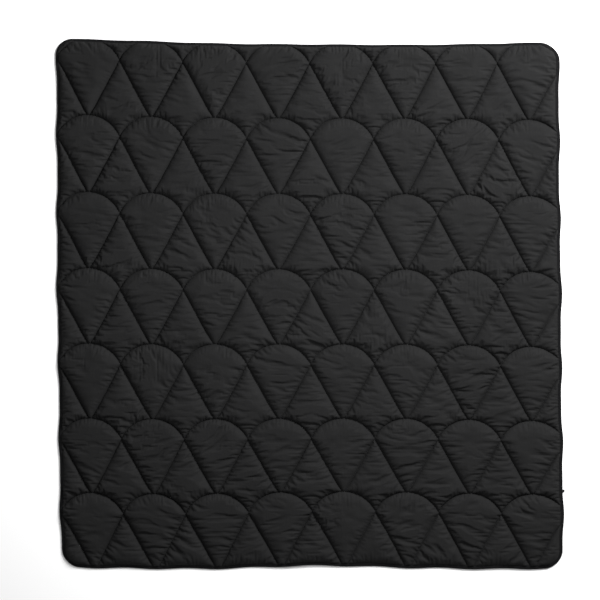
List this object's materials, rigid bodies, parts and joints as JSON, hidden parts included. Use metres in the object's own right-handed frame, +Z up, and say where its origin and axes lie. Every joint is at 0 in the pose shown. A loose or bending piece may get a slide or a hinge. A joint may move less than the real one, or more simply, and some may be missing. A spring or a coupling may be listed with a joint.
{
  "type": "camp blanket",
  "caption": "Rectangular padded blanket with rounded corners, thin edge binding and rows of fan-shaped quilting, lying flat.",
  "frame": {"origin": "middle of the underside, on the surface that the blanket lies on", "axes": "+Z up through the face cloth, +Y along the longer side towards the end with the fans' rounded tops, +X across to the right"},
  "size_m": [1.907, 1.98, 0.0221],
  "materials": {
    "face_cloth": "matte",
    "back_cloth": "matte",
    "filling": "matte",
    "binding_tape": "matte",
    "thread": "satin"
  },
  "bodies": {
    "root": {"top_shell": "face_cloth", "bottom_shell": "back_cloth", "batting": "filling", "edge_binding": "binding_tape", "side_tab": "binding_tape", "binding_needle_thread": "thread", "binding_bobbin_thread": "thread", "needle_thread_01": "thread", "needle_thread_02": "thread", "needle_thread_03": "thread", "needle_thread_04": "thread", "needle_thread_05": "thread", "needle_thread_06": "thread", "needle_thread_07": "thread", "needle_thread_08": "thread", "needle_thread_09": "thread", "needle_thread_10": "thread", "needle_thread_11": "thread", "needle_thread_12": "thread", "needle_thread_13": "thread", "needle_thread_14": "thread", "bobbin_thread_01": "thread", "bobbin_thread_02": "thread", "bobbin_thread_03": "thread", "bobbin_thread_04": "thread", "bobbin_thread_05": "thread", "bobbin_thread_06": "thread", "bobbin_thread_07": "thread", "bobbin_thread_08": "thread", "bobbin_thread_09": "thread", "bobbin_thread_10": "thread", "bobbin_thread_11": "thread", "bobbin_thread_12": "thread", "bobbin_thread_13": "thread", "bobbin_thread_14": "thread"}
  },
  "joints": []
}
